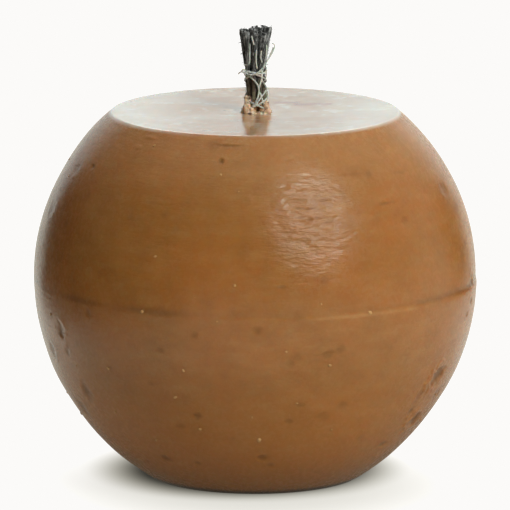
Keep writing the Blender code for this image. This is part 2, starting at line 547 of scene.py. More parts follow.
@dataclass(frozen=True)
class MouldSeam:
    """The line where the two halves of the mould met, a little out of line with each other."""

    shift: float = 0.16 * MM
    proud: float = 0.05 * MM
    flash: float = 0.02 * MM
    flash_width: float = 0.20 * MM
    groove: float = 0.03 * MM
    groove_width: float = 0.90 * MM
    lower_draft: float = 0.06 * MM
    lower_reach: float = 2.6 * MM
    wander: float = 0.22 * MM

    def height_over(self, points: np.ndarray, shape: BallShape) -> np.ndarray:
        """How high each point is over the seam, which wanders a little from level."""
        drift = 0.8 * lumps(around(points), 0.35, 11.0) + 0.4 * lumps(around(points), 0.09, 4.0)
        return points[:, 2] - shape.centre_z - self.wander * drift

    def shade(self, points: np.ndarray, shape: BallShape) -> np.ndarray:
        """Over 0 where painted shade darkens the band just above the seam, and under 0 where a painted
        highlight lightens the ledge just below it, mostly on the right.
        """
        height = self.height_over(points, shape)
        patchy = smooth(0.45 + 1.3 * lumps(around(points), 0.25, 31.0))
        right = np.sin(np.arctan2(points[:, 0], -points[:, 1]))
        aside = 0.4 + 0.6 * smooth(np.where(right < 0, -5.0, 2.2) * right - 0.5)
        painted_shade = bell((height - 0.6 * MM) / (0.65 * MM)) * (0.35 + 0.65 * patchy) * aside
        pale = bell((height + 0.2 * MM) / (0.35 * MM)) * (1 - patchy) * smooth(0.4 + right)
        return painted_shade - pale

    def raise_by(self, points: np.ndarray, shape: BallShape) -> np.ndarray:
        """How far the seam pushes the ball's side out at each point."""
        azimuth = np.arctan2(points[:, 0], -points[:, 1])
        height = self.height_over(points, shape)
        below = smooth(0.5 - height / (1.6 * MM))
        aligned = self.proud + self.shift * np.maximum(np.sin(azimuth), -0.3)
        draft = self.lower_draft * (1 - np.exp(np.minimum(height, 0.0) / self.lower_reach))
        aside = smooth(np.sin(azimuth) * 2 - 0.9) - 0.35 * smooth(-3 * np.sin(azimuth) - 1)
        broken = smooth(0.5 + 1.6 * lumps(around(points), 0.13, 3.0))
        flash = self.flash * (0.35 + aside) * broken * bell((height + 0.05 * MM) / self.flash_width)
        above = bell((height - 0.8 * self.groove_width) / self.groove_width)
        groove = self.groove * (0.25 + aside) * (0.4 + 0.6 * broken) * above
        fade = np.exp(-np.abs(height) / (9 * MM))
        return below * (aligned * fade - draft) + flash - groove


@dataclass
class WaxBody:
    """The cast ball, with its flats, its bore for the wick, the seam, the pits and the ripples."""

    shape: BallShape
    seam: MouldSeam = field(default_factory=MouldSeam)
    pits: tuple[Mark, ...] = PITS
    wrinkled: Mark = Mark(16.5, 24.0, 14.0, 19.0, 0.085, 0.0)
    random_pits: int = 80
    top_rounding: float = 0.6 * MM
    base_rounding: float = 0.8 * MM
    bore_radius: float = 1.80 * MM
    wick_x: float = 0.42 * MM
    meniscus: float = 0.55 * MM
    ripple: float = 0.085 * MM
    dish: float = 0.35 * MM
    lip: float = 0.16 * MM
    sway: float = 0.15 * MM
    segments: int = 280
    ring_step: float = 0.62 * MM
    seam_step: float = 0.12 * MM
    seam_rings: int = 8
    pit_reach: float = 2.0
    patch_reach: float = 1.45
    fine_cuts: int = 3
    top_rings: int = 24
    base_rings: int = 10
    rounding_steps: int = 6
    bore_steps: int = 6

    def __post_init__(self) -> None:
        """Adds small dents at random to the pits that are listed."""
        chance = np.random.default_rng(5)
        for _ in range(self.random_pits):
            azimuth, latitude = chance.uniform(-180, 180), chance.uniform(-52, 36)
            width, depth = chance.uniform(0.8, 2.0), chance.uniform(0.03, 0.14)
            if abs(azimuth) > 55 or latitude < 0:
                self.pits += (Mark(azimuth, latitude, width, width * chance.uniform(0.7, 1.2), depth, 0.3),)

    def outline(self) -> list[Pair]:
        """(radius, z) of each ring: over the top, down the side, in over the base and up the bore."""
        shape = self.shape
        top = shape.rounding_centre(shape.top_z, self.top_rounding)
        base = shape.rounding_centre(0.0, self.base_rounding)
        top_angle = math.atan2(top[1] - shape.centre_z, top[0])
        base_angle = math.atan2(base[1] - shape.centre_z, base[0])
        rings = []
        for i in range(self.top_rings):
            share = (i / self.top_rings) ** 1.5
            rings.append((self.bore_radius + (top[0] - self.bore_radius) * share, shape.top_z))
        for i in range(self.rounding_steps):
            angle = math.pi / 2 + (top_angle - math.pi / 2) * i / self.rounding_steps
            rings.append(on_circle(top, self.top_rounding, angle))
        middle = (0.0, shape.centre_z)
        side = [on_circle(middle, shape.radius, angle) for angle in self.side_angles(top_angle, base_angle)]
        for i in range(1, self.rounding_steps + 1):
            angle = base_angle + (-math.pi / 2 - base_angle) * i / self.rounding_steps
            side.append(on_circle(base, self.base_rounding, angle))
        rings += [shape.spread(ring) for ring in side]
        flat = rings[-1][0]
        for i in range(1, self.base_rings + 1):
            rings.append((flat + (self.bore_radius - flat) * i / self.base_rings, 0.0))
        for i in range(1, self.bore_steps):
            rings.append((self.bore_radius, shape.top_z * i / self.bore_steps))
        return rings

    def side_angles(self, top_angle: float, base_angle: float) -> list[float]:
        """The angle of each ring of the side over the ball's equator, closer together at the seam."""
        count = round(self.shape.radius * (top_angle - base_angle) / self.ring_step)
        even = [top_angle + (base_angle - top_angle) * i / count for i in range(count + 1)]
        steps = range(-self.seam_rings, self.seam_rings + 1)
        near = [step * self.seam_step / self.shape.radius for step in steps]
        return sorted([a for a in even if abs(a) > near[-1] * 1.3] + near, reverse=True)

    def build(self) -> Object:
        """Turns the outline, refines it where there is detail, and shapes its surface.

        Returns:
            The finished ball, one closed mesh with the bore through it.
        """
        rings = np.array(self.outline())
        turn = np.arange(self.segments) * 2 * math.pi / self.segments
        points = np.empty((len(rings), self.segments, 3))
        points[:, :, 0] = rings[:, :1] * np.cos(turn)
        points[:, :, 1] = rings[:, :1] * np.sin(turn)
        points[:, :, 2] = rings[:, 1:]
        corner = np.arange(len(rings) * self.segments).reshape(len(rings), self.segments)
        below = np.roll(corner, -1, axis=0)
        after = np.roll(corner, -1, axis=1)
        across = np.roll(below, -1, axis=1)
        faces = np.stack([corner, below, across, after], axis=-1).reshape(-1, 4).tolist()
        made = mesh_object("wax_ball", points.reshape(-1, 3), faces)
        self.refine(made.data)
        self.sculpt(made.data)
        return made

    def refine(self, mesh: Mesh) -> None:
        """Divides the faces round each pit and in the wrinkled patch into small ones."""
        grid = bmesh.new()
        grid.from_mesh(mesh)
        grid.faces.ensure_lookup_table()
        middles = np.array([face.calc_center_median() for face in grid.faces])
        fine = np.zeros(len(middles), bool)
        for pit in self.pits:
            fine |= pit.distance(middles, self.shape) < self.pit_reach
        fine |= self.wrinkled.distance(middles, self.shape) < self.patch_reach
        fine &= np.hypot(middles[:, 0], middles[:, 1]) > self.shape.base_radius
        edges = {edge for i in np.flatnonzero(fine) for edge in grid.faces[i].edges}
        bmesh.ops.subdivide_edges(grid, edges=list(edges), cuts=self.fine_cuts, use_grid_fill=True)
        grid.to_mesh(mesh)
        grid.free()
        mesh.shade_smooth()

    def sculpt(self, mesh: Mesh) -> None:
        """Moves each vertex along the surface's normal, and stores what the material reads."""
        points = points_of(mesh)
        shape = self.shape
        across = np.hypot(points[:, 0], points[:, 1])
        top_centre = shape.rounding_centre(shape.top_z, self.top_rounding)[0]
        on_top = (points[:, 2] > shape.top_z - 1e-6) & (across < top_centre + 1e-6)
        in_bore = across < self.bore_radius + 1e-6
        outward = points - np.array([0.0, 0.0, shape.centre_z])
        outward /= np.linalg.norm(outward, axis=1)[:, None]
        side = smooth(points[:, 2] / (2 * MM)) * smooth((shape.top_z - points[:, 2]) / (1.5 * MM))
        out = self.sway * (lumps(points, 16 * MM, 2.0) + 0.4 * lumps(points, 6 * MM, 5.0))
        out += self.seam.raise_by(points, shape)
        pit_shade = np.zeros(len(points))
        ragged = 1 + 0.45 * lumps(points, 1.1 * MM, 9.0)
        for pit in self.pits:
            reach = pit.distance(points, shape) * ragged
            hollow = bell(reach**1.4)
            rim = pit.lip * bell((reach - 1.4) / 0.55) * pit.front_side(points)
            out -= pit.depth * MM * (hollow - rim)
            # Painted shade for the material: deeper hollows are darkened more.
            pit_shade = np.maximum(pit_shade, hollow * pit.hollow_shade)
        reach = self.wrinkled.distance(points, shape) * (1 + 0.3 * lumps(points, 4 * MM, 6.0))
        patch = smooth((self.patch_reach - reach) / 1.1)
        out += patch * self.wrinkled.depth * MM * self.wrinkles(points)
        moved = points + outward * (out * side)[:, None]
        moved[:, 2] += np.where(on_top, self.top_relief(points), 0.0)
        moved[in_bore & ~on_top, 0:2] = points[in_bore & ~on_top, 0:2]
        foot = smooth((6 * MM - across) / (4 * MM))
        moved[:, 0] += self.wick_x * foot
        move_points(mesh, moved)
        store(mesh, "pit_shade", pit_shade * side)
        store(mesh, "flat_top", smooth((points[:, 2] - shape.top_z) / (0.3 * MM) + 1.15))
        store(mesh, "wrinkled", patch)
        # Painted shade above the seam and a painted highlight below it, for the material.
        store(mesh, "seam", self.seam.shade(points, shape) * side)

    def wrinkles(self, points: np.ndarray) -> np.ndarray:
        """The small level creases of the patch where the wax skinned over as it was cast."""
        drawn = points * np.array([1.0, 1.0, 2.2])
        broad = lumps(points, 5.0 * MM, 14.0) + 0.8 * lumps(drawn, 2.6 * MM, 21.0)
        dashes = np.minimum(lumps(drawn, 1.5 * MM, 33.0) + 0.12, 0.0)
        return 1.1 * broad + 2.4 * dashes + 0.5 * lumps(drawn, 0.9 * MM, 51.0)

    def top_relief(self, points: np.ndarray) -> np.ndarray:
        """How far the top stands over its level: the ripples, and the wax drawn up by the wick."""
        across = np.hypot(points[:, 0], points[:, 1])
        rim = smooth((self.shape.top_radius - 1.2 * MM - across) / (2 * MM))
        level = points * np.array([1.0, 0.8, 1.0])
        swell = lumps(level, 9 * MM, 40.0) + 0.5 * lumps(level, 4 * MM, 47.0)
        drawn_up = self.meniscus * np.exp(-(across - self.bore_radius) / (0.9 * MM))
        edge = self.shape.top_radius - across
        lip = self.lip * (bell(edge / (3.2 * MM)) - bell(edge / (0.8 * MM)))
        dimple = 0.22 * MM * bell(np.hypot(points[:, 0] + 4.5 * MM, points[:, 1] - 2.6 * MM) / (0.8 * MM))
        sunk = self.dish * bell(across / (15 * MM))
        return self.ripple * swell * rim + drawn_up + lip - dimple - sunk


@dataclass(frozen=True)
class Streak:
    """A thin brown mark on the flat top, level with the front. Its sizes are in millimetres."""

    left: float
    right: float
    back: float
    width: float

    def mask(self, shader: Shader, x: Value, y: Value) -> Socket:
        """1 on the mark and 0 off it."""
        across = shader.math("ABSOLUTE", shader.minus(y, self.back * MM))
        band = shader.ramp(across, self.width * MM, 0.2 * self.width * MM)
        start = shader.ramp(x, self.left * MM, (self.left + 0.8) * MM)
        end = shader.ramp(x, self.right * MM, (self.right - 0.8) * MM)
        return shader.times(band, shader.times(start, end))


@dataclass(frozen=True)
class WaxFinish:
    """Satin cast wax, lit from within, with faint stains, a pale bloom on the flat top that is partly a
    painted reflection, and painted shade in its pits, above its seam and at its foot.
    """

    shape: BallShape
    red: Colour = (0.305, 0.111, 0.023)
    olive: Colour = (0.280, 0.111, 0.024)
    deep: Colour = (0.12, 0.042, 0.009)
    pale: Colour = (0.46, 0.25, 0.105)
    light: Colour = (0.44, 0.165, 0.036)
    hollow: Colour = (0.080, 0.032, 0.008)
    foot_shade: Colour = (0.03, 0.012, 0.004)
    bloom_and_reflection: Colour = (0.52, 0.49, 0.43)
    chalk_and_reflection: Colour = (0.80, 0.79, 0.76)
    brown: Colour = (0.25, 0.075, 0.05)
    scatter: float = 2.0 * MM
    cell: float = 7.0 * MM
    streaks: tuple[Streak, ...] = (Streak(3.0, 8.5, 10.3, 1.9), Streak(6.5, 14.5, 8.0, 1.7))

    def build(self) -> Material:
        """Makes the material."""
        shader = Shader("cast_wax")
        place = shader.place
        x, y, _ = shader.split(place)
        on_top = shader.attribute("flat_top")
        colour = self.side_colour(shader)
        colour = self.top_colour(shader, colour, on_top, x, y)

        grain = shader.noise(place, 0.9 * MM, 3.0, 0.6)
        rough = shader.spanned(grain, 0.14, 0.20)
        rough = shader.spanned(shader.attribute("wrinkled"), 0.05, rough)
        rough = shader.spanned(on_top, -0.08, rough)

        fine = shader.bump(shader.noise(place, 0.45 * MM, 3.0, 0.6), 0.010 * MM)
        level = shader.noise(shader.stretched(1.0, 1.0, 4.0), 2.4 * MM, 4.0, 0.65)
        creased = shader.spanned(shader.attribute("wrinkled"), 1.6, 0.85)
        creased = shader.times(creased, shader.minus(1.0, on_top))
        fine = shader.bump(shader.times(level, creased), 0.085 * MM, fine)
        shader.set(
            base_color=colour,
            roughness=rough,
            normal=fine,
            ior=1.44,
            specular_ior_level=shader.spanned(shader.attribute("pit_shade"), -0.3, 0.40),
            coat_weight=shader.times(on_top, 0.5),
            coat_roughness=0.16,
            subsurface_weight=0.5,
            subsurface_scale=self.scatter,
            subsurface_radius=(1.0, 0.38, 0.14),
        )
        return shader.material

    def side_colour(self, shader: Shader) -> Socket:
        """The wax's colour: cloudy and mottled, and darker in its stains; with painted light over its lower
        half, a painted highlight below the seam, and painted shade in its pits, above the seam and at its
        foot.
        """
        place = shader.place
        cloud = shader.ramp(shader.noise(place, 14 * MM, 3.0, 0.55), 0.35, 0.65)
        colour = shader.mix(cloud, self.red, self.olive)
        mottle = shader.ramp(shader.noise(place, 3.2 * MM, 4.0, 0.65), 0.35, 0.85)
        colour = shader.mix(shader.times(mottle, 0.30), colour, self.deep)
        height = shader.split(place)[2]
        # Painted light: the lower half is mixed towards a lighter orange, for the light that the floor
        # throws up onto it.
        low = shader.ramp(height, 0.75 * self.shape.centre_z, 2 * MM)
        colour = shader.mix(shader.times(low, 0.85), colour, self.light)
        smear = shader.ramp(shader.noise(shader.stretched(1.0, 1.0, 3.0), 5.0 * MM, 4.0, 0.6), 0.42, 0.70)
        colour = shader.mix(shader.times(smear, 0.16), colour, self.pale)
        high = shader.ramp(height, 0.80 * self.shape.top_z, 0.95 * self.shape.top_z)
        colour = shader.mix(shader.times(high, 0.19), colour, self.pale)
        # Painted shade: the wax at the rim of the foot, in its lowest 1.5 mm, is mixed nearly to black for
        # the contact shadow under the rounding.
        across = shader.length(shader.vector("MULTIPLY", place, (1.0, 1.0, 0.0)))
        foot = self.shape.base_radius + self.shape.foot_spread
        edge = shader.ramp(across, foot - 2.0 * MM, foot - 0.6 * MM)
        foot_shaded = shader.times(shader.ramp(height, 1.5 * MM, 0.3 * MM), edge)
        colour = shader.mix(shader.times(foot_shaded, 0.85), colour, self.foot_shade)
        # Painted shade and highlight of the seam: darker wax in the band above it, paler wax on the ledge
        # below it.
        seam = shader.attribute("seam")
        colour = shader.mix(shader.times(shader.ramp(seam, 0.0, 1.0), 0.50), colour, self.deep)
        colour = shader.mix(shader.times(shader.ramp(seam, 0.0, -1.0), 0.35), colour, self.pale)
        ragged = shader.vector("SCALE", self.wobble(shader, 2.2 * MM), 1.4 * MM)
        warped = shader.vector("ADD", place, ragged)
        cells = shader.node("ShaderNodeTexVoronoi", {"Vector": warped, "Scale": 1 / self.cell})
        chosen = shader.socket("ShaderNodeSeparateColor", {0: cells.outputs["Color"]})
        size = shader.spanned(chosen, 0.20, 0.02)
        stain = shader.minus(1.0, shader.math("DIVIDE", cells.outputs["Distance"], size))
        stain = shader.times(shader.ramp(stain, 0.0, 0.9), 0.34)
        colour = shader.mix(stain, colour, self.deep)
        # Painted shade: each pit's hollow is mixed towards dark brown, more for deeper pits.
        return shader.mix(shader.times(shader.attribute("pit_shade"), 0.72), colour, self.hollow)

    def wobble(self, shader: Shader, size: float) -> Socket:
        """A small vector that differs from place to place, to make an outline ragged."""
        noisy = shader.node(
            "ShaderNodeTexNoise", {"Vector": shader.place, "Scale": 1 / size, "Detail": 2.0}
        )
        return shader.vector("SUBTRACT", noisy.outputs[1], (0.5, 0.5, 0.5))

    def top_colour(self, shader: Shader, under: Value, on_top: Value, x: Value, y: Value) -> Socket:
        """The wax's colour with the pale bloom, which is partly a painted reflection of the backdrop, and
        the thin brown marks of the top over it.
        """
        # Pale bloom on the flat top, whiter towards its left and right edges: partly a real bloom on the
        # wax and partly a painted reflection of the bright backdrop.
        frost = shader.ramp(shader.noise(shader.stretched(0.6, 0.7, 1.0), 8 * MM, 4.0, 0.6), 0.41, 0.59)
        white = shader.ramp(shader.noise(shader.stretched(0.8, 1.0, 1.0), 2.6 * MM, 3.0, 0.6), 0.56, 0.70)
        bloom_and_reflection = shader.spanned(frost, 0.28, 0.06)
        bloom_and_reflection = shader.spanned(white, 0.40, bloom_and_reflection)
        sideways = shader.ramp(shader.math("ABSOLUTE", x), 8 * MM, 23 * MM)
        bloom_and_reflection = shader.spanned(sideways, 0.30, bloom_and_reflection)
        colour = shader.mix(shader.times(on_top, bloom_and_reflection), under, self.bloom_and_reflection)
        chalk_and_reflection_share = shader.times(shader.times(sideways, on_top), 0.30)
        colour = shader.mix(chalk_and_reflection_share, colour, self.chalk_and_reflection)
        shifted = self.wobble(shader, 2.0 * MM)
        bent = shader.split(shader.vector("SCALE", shifted, 1.6 * MM))
        x, y = shader.plus(x, bent[0]), shader.plus(y, bent[1])
        for streak in self.streaks:
            mark = shader.times(streak.mask(shader, x, y), on_top)
            colour = shader.mix(shader.times(mark, 0.75), colour, self.brown)
        return colour


# Crumbs on the ball, as (azimuth, latitude) in degrees and a radius in millimetres.
SPECKS = (
    (-27.2, 14.9, 0.17), (-15.4, 5.3, 0.14), (-30.0, 0.6, 0.17), (-9.6, -0.6, 0.15),
    (30.6, 0.3, 0.24), (-19.1, -14.2, 0.18), (-42.9, -16.2, 0.18), (-22.5, -22.3, 0.20),
    (19.9, -12.8, 0.17), (-46.1, -30.0, 0.20), (-16.8, -32.2, 0.20), (1.3, -35.6, 0.30),
    (35.0, -43.5, 0.20), (-18.7, -51.2, 0.18), (29.8, -50.9, 0.20), (11.7, -23.4, 0.14),
    (-0.8, -27.6, 0.14), (-28.7, -45.7, 0.18), (-39.0, 44.5, 0.16), (8.0, -8.5, 0.14),
    (17.0, 3.5, 0.13), (-5.0, 33.0, 0.12), (24.0, -33.0, 0.15), (-34.0, -38.0, 0.16),
)


class SpeckTree(GeometryGraph):
    """Sets a small flattened crumb at each point of a mesh, facing out along the stored direction."""

    def __init__(self, material: Material) -> None:
        """Builds the tree for crumbs in one material."""
        super().__init__("wax_crumbs")
        size = self.input("Size", "Float", 1.0)
        seed = self.input("Seed", "Int", 1)
        points = self.socket("GeometryNodeMeshToPoints", {0: self.given.outputs[0]})
        crumb = self.socket("GeometryNodeMeshIcoSphere", {0: 1.0, 1: 2})
        crumb = self.socket("GeometryNodeSetShadeSmooth", {0: crumb})
        outward = self.socket(
            "GeometryNodeInputNamedAttribute", {"Name": "outward"}, data_type="FLOAT_VECTOR"
        )
        aligned = self.socket("FunctionNodeAlignRotationToVector", {2: outward}, axis="Z")
        wide = self.random(0.7, 1.5, seed)
        scale = self.socket("ShaderNodeCombineXYZ", {0: wide, 1: self.random(0.7, 1.3, 8), 2: 0.5})
        scale = self.vector("SCALE", scale, self.times(self.named("girth"), size))
        made = self.socket(
            "GeometryNodeInstanceOnPoints",
            {"Points": points, "Instance": crumb, "Rotation": aligned, "Scale": scale},
        )
        self.close(made, material)


@dataclass
class Specks:
    """Pale crumbs of wax stuck to the side of the ball."""

    shape: BallShape
    placed: tuple[tuple[float, float, float], ...] = SPECKS
    scattered: int = 70
    tan: Colour = (0.50, 0.29, 0.125)
    dull: Colour = (0.42, 0.21, 0.075)

    def build(self) -> Object:
        """Sets a crumb at each place, and at random places round the rest of the ball."""
        chance = np.random.default_rng(12)
        places = list(self.placed)
        while len(places) < len(self.placed) + self.scattered:
            azimuth, latitude = chance.uniform(-180, 180), chance.uniform(-58, 38)
            if abs(azimuth) > 60 or chance.random() < 0.25:
                places.append((azimuth, latitude, chance.uniform(0.08, 0.2)))
        marks = [Mark(azimuth, latitude, 1, 1, 0) for azimuth, latitude, _ in places]
        points = np.array([mark.centre(self.shape) for mark in marks])
        source = mesh_object("specks", points, [])
        store(source.data, "girth", np.array([size for _, _, size in places]) * MM)
        outward = points - np.array([0.0, 0.0, self.shape.centre_z])
        layer = source.data.attributes.new("outward", "FLOAT_VECTOR", "POINT")
        layer.data.foreach_set("vector", outward.astype(np.float32).ravel())
        return SpeckTree(self.finish()).grow(source, "pale_specks", Size=1.45, Seed=3)

    def finish(self) -> Material:
        """Pale tan wax, a little uneven in colour."""
        shader = Shader("pale_specks")
        cloud = shader.ramp(shader.noise(shader.place, 3 * MM, 2.0), 0.3, 0.7)
        colour = shader.mix(cloud, self.tan, self.dull)
        grain = shader.noise(shader.place, 0.2 * MM, 2.0)
        shader.set(
            base_color=colour,
            roughness=shader.spanned(grain, 0.2, 0.4),
            normal=shader.bump(grain, 0.03 * MM),
            ior=1.44,
            specular_ior_level=0.4,
        )
        return shader.material


# ---------------------------------------------------------------- the wick


@dataclass(frozen=True)
class WickShape:
    """The wick's course: upright and close from the wax to the neck, and opening out to the cut.

    lowered is how far down, in millimetres, the routes of the threads over it are set.
    """

    foot_z: float
    base_z: float = 0.5 * MM
    stand: float = 15.5 * MM
    neck: float = 7.2 * MM
    ring: float = 1.40 * MM
    yarn_radius: float = 0.45 * MM
    spread: float = 0.68
    swell: float = 0.55
    twist: float = math.radians(24)
    foot_x: float = 0.42 * MM
    top_x: float = 0.02 * MM
    lowered: float = 0.38

    def opening(self, height: np.ndarray | float) -> np.ndarray:
        """0 up to the neck and 1 at the cut."""
        share = np.clip((height - self.neck) / (self.stand - self.neck), 0.0, 1.1)
        return 0.5 * share + 0.5 * smooth(share)

    def axis_x(self, height: np.ndarray | float) -> np.ndarray:
        """How far the wick's middle is to the right of the ball's."""
        return self.top_x + (self.foot_x - self.top_x) * (1 - smooth(height / (8 * MM)))

    def girth(self, height: np.ndarray | float) -> np.ndarray:
        """How thick a yarn is, as a share of its thickness at the foot."""
        return 1 + self.swell * self.opening(height)

    def reach(self, height: np.ndarray | float) -> np.ndarray:
        """The wick's outer radius."""
        return self.ring * (1 + self.spread * self.opening(height)) + self.yarn_radius * self.girth(height)

    def place(self, angle: np.ndarray, radius: np.ndarray, height: np.ndarray) -> np.ndarray:
        """Points round the wick's axis, at heights over the wax."""
        across = self.axis_x(height) + radius * np.cos(angle)
        return np.stack([across, radius * np.sin(angle), self.foot_z + height], axis=1)

    def yarn(self, share: float, ring: float, low: float, high: float, steps: int) -> np.ndarray:
        """The middle line of one yarn, between two heights over the wax.

        Args:
            share: how far round the wick the yarn is, from 0 to 1.
            ring: how far it is from the wick's axis at the foot.
            low: where it starts.
            high: where it ends.
            steps: how many pieces the line has.

        Returns:
            The line's points.
        """
        height = np.linspace(low, high, steps + 1)
        angle = 2 * math.pi * share + self.twist * np.maximum(height, 0.0) / self.stand
        radius = ring * (1 + self.spread * self.opening(height))
        return self.place(angle, radius, height)

    def draped(self, route: Sequence[Pair], lift: float) -> np.ndarray:
        """Lays a route of (right, height), in millimetres, over the front of the wick."""
        rows = []
        for right, height in route:
            reach = float(self.reach(height * MM))
            inward = right * MM - float(self.axis_x(height * MM))
            front = math.sqrt(max(reach**2 - inward**2, (0.35 * reach) ** 2))
            rows.append((right * MM, -front - lift, self.foot_z + (height - self.lowered) * MM))
        return np.array(rows)

    def beside(self, right: float, height: float, front: float) -> tuple[float, float, float]:
        """The point that is right, height and front millimetres from the wick's foot."""
        return right * MM, -front * MM, self.foot_z + (height - self.lowered) * MM


def rounded(points: np.ndarray, times: int = 3) -> np.ndarray:
    """Rounds the corners of a line, which keeps its ends."""
    for _ in range(times):
        first = points[:-1] * 0.75 + points[1:] * 0.25
        second = points[:-1] * 0.25 + points[1:] * 0.75
        between = np.stack([first, second], axis=1).reshape(-1, 3)
        points = np.concatenate([points[:1], between, points[-1:]])
    return points


@dataclass(frozen=True)
class CottonFinish:
    """Charred cotton with grey ash on it, soaked in brown wax near the foot."""

    foot_z: float
    char: Colour = (0.020, 0.020, 0.020)
    ash: Colour = (0.34, 0.34, 0.34)
    soaked: Colour = (0.060, 0.040, 0.022)
    olive: Colour = (0.16, 0.14, 0.085)
    mauve: Colour = (0.16, 0.105, 0.12)
    tan: Colour = (0.42, 0.22, 0.10)

    def build(self) -> Material:
        """Makes the material."""
        shader = Shader("charred_cotton")
        height = shader.split(shader.place)[2]
        height = shader.minus(height, self.foot_z)
        strand = shader.attribute("strand")
        drawn = shader.noise(shader.stretched(1.0, 1.0, 0.42), 0.42 * MM, 4.0, 0.65)
        ashen = shader.ramp(shader.plus(drawn, shader.times(strand, 0.30)), 0.60, 0.84)
        upper = shader.mix(ashen, self.char, self.ash)
        patches = shader.noise(shader.place, 1.1 * MM, 2.0)
        lower = shader.mix(shader.ramp(patches, 0.50, 0.62), self.soaked, self.olive)
        shifted = shader.vector("ADD", shader.place, (0.013, 0.007, 0.003))
        lower = shader.mix(shader.ramp(shader.noise(shifted, 1.3 * MM, 2.0), 0.56, 0.66), lower, self.mauve)
        wander = shader.times(shader.minus(patches, 0.5), 5 * MM)
        edge = shader.plus(height, wander)
        colour = shader.mix(shader.ramp(edge, 0.6 * MM, 3.2 * MM), self.tan, lower)
        colour = shader.mix(shader.ramp(edge, 5.6 * MM, 8.2 * MM), colour, upper)
        rough = shader.spanned(shader.ramp(edge, 2 * MM, 9 * MM), 0.35, 0.5)
        fibres = shader.noise(shader.stretched(1.0, 1.0, 0.15), 0.09 * MM, 3.0, 0.7)
        shader.set(
            base_color=colour,
            roughness=rough,
            normal=shader.bump(fibres, 0.05 * MM),
            specular_ior_level=0.35,
            sheen_weight=0.25,
            sheen_roughness=0.5,
        )
        return shader.material


@dataclass(frozen=True)
class ThreadFinish:
    """Pale cotton thread, sooty in places."""

    pale: Colour = (0.62, 0.62, 0.58)
    sooty: Colour = (0.24, 0.24, 0.22)
    yellowed: Colour = (0.50, 0.47, 0.40)

    def build(self) -> Material:
        """Makes the material."""
        shader = Shader("pale_thread")
        soot = shader.ramp(shader.noise(shader.place, 1.0 * MM, 3.0, 0.6), 0.48, 0.72)
        colour = shader.mix(soot, self.pale, self.sooty)
        tint = shader.times(shader.attribute("strand"), 0.35)
        colour = shader.mix(tint, colour, self.yellowed)
        fibres = shader.noise(shader.place, 0.06 * MM, 3.0, 0.7)
        shader.set(
            base_color=colour,
            roughness=shader.spanned(soot, 0.1, 0.75),
            normal=shader.bump(fibres, 0.02 * MM),
            specular_ior_level=0.3,
            sheen_weight=0.3,
            sheen_roughness=0.5,
            subsurface_weight=0.3,
            subsurface_scale=0.4 * MM,
        )
        return shader.material


@dataclass(frozen=True)
class DripFinish:
    """Orange to pale wax that has set in lumps round the wick."""

    orange: Colour = (0.38, 0.185, 0.085)
    pale: Colour = (0.62, 0.45, 0.31)
    crevice_shade: Colour = (0.07, 0.035, 0.018)

    def build(self) -> Material:
        """Makes the material."""
        shader = Shader("set_drips")
        cloud = shader.ramp(shader.noise(shader.place, 1.1 * MM, 3.0, 0.6), 0.30, 0.58)
        colour = shader.mix(cloud, self.orange, self.pale)
        # Painted shade: dark patches set at random, for the crevices between the lumps.
        painted_shade = shader.ramp(shader.noise(shader.place, 1.0 * MM, 3.0, 0.6), 0.56, 0.68)
        colour = shader.mix(painted_shade, colour, self.crevice_shade)
        grain = shader.noise(shader.place, 0.25 * MM, 3.0, 0.6)
        shader.set(
            base_color=colour,
            roughness=shader.spanned(grain, 0.2, 0.28),
            normal=shader.bump(grain, 0.05 * MM),
            ior=1.44,
            subsurface_weight=0.4,
            subsurface_scale=0.8 * MM,
            subsurface_radius=(1.0, 0.45, 0.2),
        )
        return shader.material


